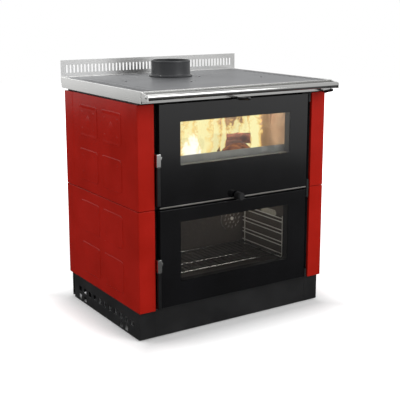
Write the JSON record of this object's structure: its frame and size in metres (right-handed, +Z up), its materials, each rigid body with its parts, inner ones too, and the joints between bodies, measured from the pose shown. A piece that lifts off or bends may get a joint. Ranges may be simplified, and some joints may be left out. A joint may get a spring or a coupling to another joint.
{
  "type": "wood-burning cook stove",
  "caption": "Wood-burning cook stove with a glazed firebox over a glazed oven, ground steel hob with flue collar, stainless top frame and rail, and red ceramic sides.",
  "frame": {"origin": "on the floor, in the middle of the overall width and depth", "axes": "+Z up, the doors face -Y, +X to the right of someone facing the doors"},
  "size_m": [0.8, 0.69, 0.9215],
  "materials": {
    "black_casing": "satin black stoving paint",
    "casing_steel": "matt dark grey",
    "smoke_steel": "matt sooty steel",
    "red_glaze": "glossy red majolica glaze",
    "stainless": "fine brushed",
    "polished_steel": "polished",
    "ground_steel": "ground steel hob",
    "black_iron": "matt black",
    "firebrick": "rough vermiculite",
    "grey_steel": "heat-dulled steel",
    "oven_enamel": "brown-grey enamel",
    "bright_wire": "satin chrome wire",
    "lamp_glass": "frosted",
    "door_glass": "smoked ceramic glass",
    "seal_rope": "glass-fibre rope",
    "black_plastic": "gloss black phenolic"
  },
  "bodies": {
    "stove": {"levelling_feet": "black_casing", "plinth_front": "black_casing", "plinth_left": "black_casing", "plinth_right": "black_casing", "base_plate": "black_casing", "side_wall_left": "casing_steel", "side_wall_right": "casing_steel", "rear_cover": "casing_steel", "front_plate": "black_iron", "panel_upper_left": "red_glaze", "panel_upper_right": "red_glaze", "panel_lower_left": "red_glaze", "panel_lower_right": "red_glaze", "top_frame_front": "stainless", "top_frame_left": "stainless", "top_frame_right": "stainless", "splashback": "stainless", "towel_rail": "polished_steel", "rail_brackets": "stainless", "top_screws": "polished_steel", "hob_plate": "ground_steel", "flue_collar": "black_iron", "firebox_shell": "smoke_steel", "firebox_floor": "firebrick", "firebricks": "firebrick", "fire_grate": "black_iron", "log_retainer": "grey_steel", "baffle": "firebrick", "air_box": "casing_steel", "hob_chamber": "smoke_steel", "smoke_ducts": "smoke_steel", "smoke_jacket": "smoke_steel", "oven_liner": "oven_enamel", "oven_vent_cover": "bright_wire", "oven_lamp": "lamp_glass", "shelf_runners": "bright_wire", "power_gland": "black_plastic", "hinge_plates": "black_iron", "latch_keepers": "grey_steel", "rod_guides": "black_iron"},
    "firebox_door": {"firebox_door_frame": "black_iron", "firebox_door_glass": "door_glass", "firebox_door_rail": "stainless", "firebox_door_seal": "seal_rope"},
    "oven_door": {"oven_door_frame": "black_iron", "oven_door_glass": "door_glass", "oven_door_seal": "seal_rope"},
    "firebox_handle": {"firebox_lever": "polished_steel", "firebox_grip": "black_plastic"},
    "oven_handle": {"oven_lever": "polished_steel", "oven_grip": "black_plastic"},
    "door_air": {"door_air_valve": "black_plastic"},
    "secondary_air": {"air_rod": "polished_steel", "air_knob": "black_plastic"},
    "bypass": {"bypass_rod": "polished_steel", "bypass_knob": "black_plastic"},
    "lid_left": {"hob_lid_left": "ground_steel"},
    "lid_right": {"hob_lid_right": "ground_steel"},
    "drawer": {"ash_drawer": "grey_steel"},
    "rack": {"oven_rack": "bright_wire"}
  },
  "joints": [
    {"name": "firebox_door_hinge", "type": "hinge", "parent": "stove", "child": "firebox_door", "pos_m": [0.32505, -0.239, 0.632], "axis": [0, 0, 1], "range_deg": [0, 110]},
    {"name": "oven_door_hinge", "type": "hinge", "parent": "stove", "child": "oven_door", "pos_m": [0.32505, -0.239, 0.2775], "axis": [0, 0, 1], "range_deg": [0, 110]},
    {"name": "firebox_handle_pivot", "type": "hinge", "parent": "firebox_door", "child": "firebox_handle", "pos_m": [-0.3243, -0.236, 0.623], "axis": [-1, 0, 0], "range_deg": [0, 25]},
    {"name": "oven_handle_pivot", "type": "hinge", "parent": "oven_door", "child": "oven_handle", "pos_m": [-0.3243, -0.236, 0.2605], "axis": [-1, 0, 0], "range_deg": [0, 25]},
    {"name": "door_air_slide", "type": "slide", "parent": "firebox_door", "child": "door_air", "axis": [0, -1, 0], "range_m": [0, 0.012]},
    {"name": "secondary_air_slide", "type": "slide", "parent": "stove", "child": "secondary_air", "axis": [0, -1, 0], "range_m": [0, 0.028]},
    {"name": "bypass_slide", "type": "slide", "parent": "stove", "child": "bypass", "axis": [0, -1, 0], "range_m": [0, 0.025]},
    {"name": "lid_left_lift", "type": "slide", "parent": "stove", "child": "lid_left", "axis": [0, 0, 1], "range_m": [0, 0.15]},
    {"name": "lid_right_lift", "type": "slide", "parent": "stove", "child": "lid_right", "axis": [0, 0, 1], "range_m": [0, 0.15]},
    {"name": "drawer_slide", "type": "slide", "parent": "stove", "child": "drawer", "axis": [0, -1, 0], "range_m": [0, 0.215]},
    {"name": "rack_slide", "type": "slide", "parent": "stove", "child": "rack", "axis": [0, -1, 0], "range_m": [0, 0.195]}
  ],
  "couplings": [
    {"joint": "drawer_slide", "follows": "firebox_door_hinge", "m_per_rad": 0.11},
    {"joint": "rack_slide", "follows": "oven_door_hinge", "m_per_rad": 0.1}
  ]
}
